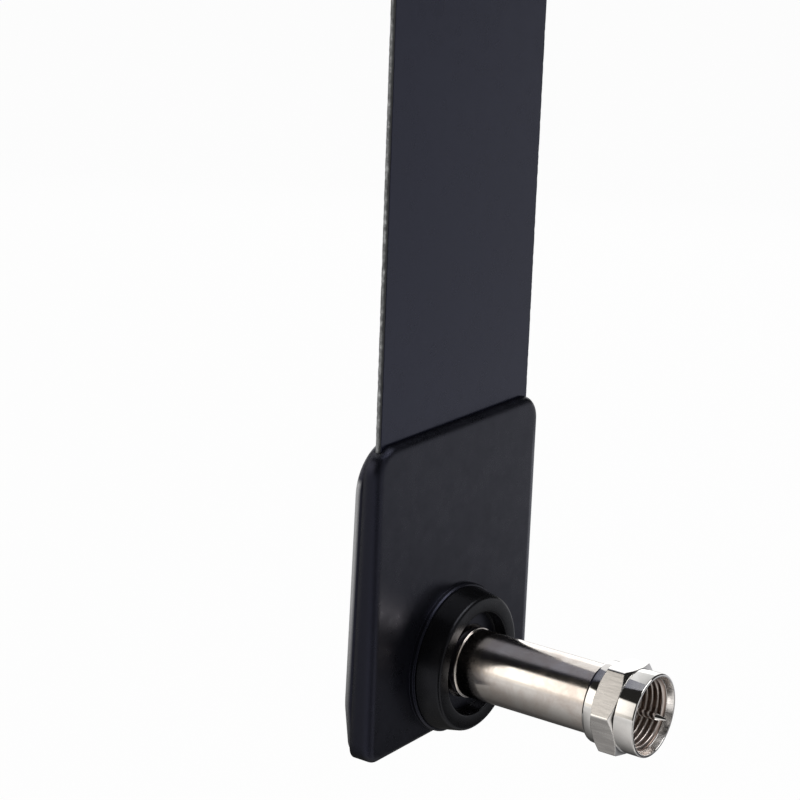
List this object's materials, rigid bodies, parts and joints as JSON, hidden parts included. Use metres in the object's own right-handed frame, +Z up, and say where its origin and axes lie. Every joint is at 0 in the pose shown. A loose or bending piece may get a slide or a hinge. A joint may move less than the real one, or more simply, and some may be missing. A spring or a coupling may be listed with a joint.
{
  "type": "stick tv antenna",
  "caption": "Flat blade TV antenna rising from a thin moulded housing, with a polished coax plug and captive coupling nut at right angles near its foot.",
  "frame": {"origin": "centre of the open mouth of the coupling nut, on the axis of the coax plug", "axes": "+Z up along the blade, -Y out of the plug towards the socket it screws to, +X to the viewer's right when the housing front and the plug face the viewer"},
  "size_m": [0.0368, 0.0371, 0.1898],
  "materials": {
    "housing_plastic": "satin moulded black with a slight blue cast",
    "hub_plastic": "satin moulded black",
    "glass_fibre_core": "cut glass fibre board, light grey, slightly ragged",
    "blade_film": "matt dark charcoal film with a blue cast",
    "copper": "printed copper",
    "nut_nickel": "nickel plate, brushed along the hexagon's flats, polished on the collar",
    "sleeve_nickel": "polished nickel plate",
    "insulator_plastic": "waxy white polyethylene",
    "pin_metal": "nickel plated brass",
    "spacer_brass": "bright turned brass",
    "solder": "bright solder",
    "ceramic": "unglazed ceramic chip"
  },
  "bodies": {
    "antenna": {"front_cover": "housing_plastic", "rear_cover": "housing_plastic", "hub_ring": "hub_plastic", "blade_core": "glass_fibre_core", "blade_front_film": "blade_film", "blade_rear_film": "blade_film", "radiator_lower": "copper", "radiator_upper": "copper", "feed_line": "copper", "connector_sleeve": "sleeve_nickel", "connector_post": "sleeve_nickel", "dielectric_insulator": "insulator_plastic", "center_pin": "pin_metal", "ground_spacer": "spacer_brass", "signal_solder": "solder", "balun_chip": "ceramic", "coupling_capacitor": "ceramic"},
    "nut": {"coupling_nut": "nut_nickel"}
  },
  "joints": [
    {"name": "nut_spin", "type": "hinge", "parent": "antenna", "child": "nut", "pos_m": [0, 0, 0], "axis": [0, -1, 0], "continuous": true}
  ]
}
